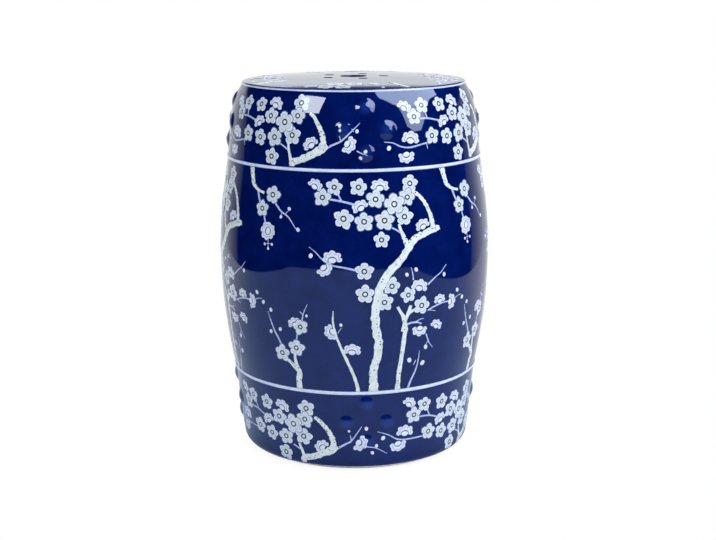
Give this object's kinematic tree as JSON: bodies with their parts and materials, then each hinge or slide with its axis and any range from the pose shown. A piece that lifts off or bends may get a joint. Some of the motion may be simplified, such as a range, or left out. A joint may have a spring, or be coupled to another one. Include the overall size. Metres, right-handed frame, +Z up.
{
  "type": "ceramic garden stool",
  "caption": "Barrel-shaped glazed ceramic garden stool with a crowned pierced seat, raised lines and domed bosses on both bands, open underneath.",
  "frame": {"origin": "centre of the foot, on the floor", "axes": "+Z up along the drum's axis, front of the stool towards -Y"},
  "size_m": [0.33, 0.33, 0.453],
  "materials": {
    "glaze": "gloss cobalt glaze",
    "line_glaze": "gloss white glaze",
    "bare_ceramic": "unglazed, fine matt"
  },
  "bodies": {
    "root": {"seat": "glaze", "shoulder_band": "glaze", "upper_belly": "glaze", "lower_belly": "glaze", "base_band": "glaze", "foot_ring": "bare_ceramic", "rim_line": "line_glaze", "upper_line": "line_glaze", "lower_line": "line_glaze", "upper_bosses": "glaze", "lower_bosses": "glaze"}
  },
  "joints": []
}
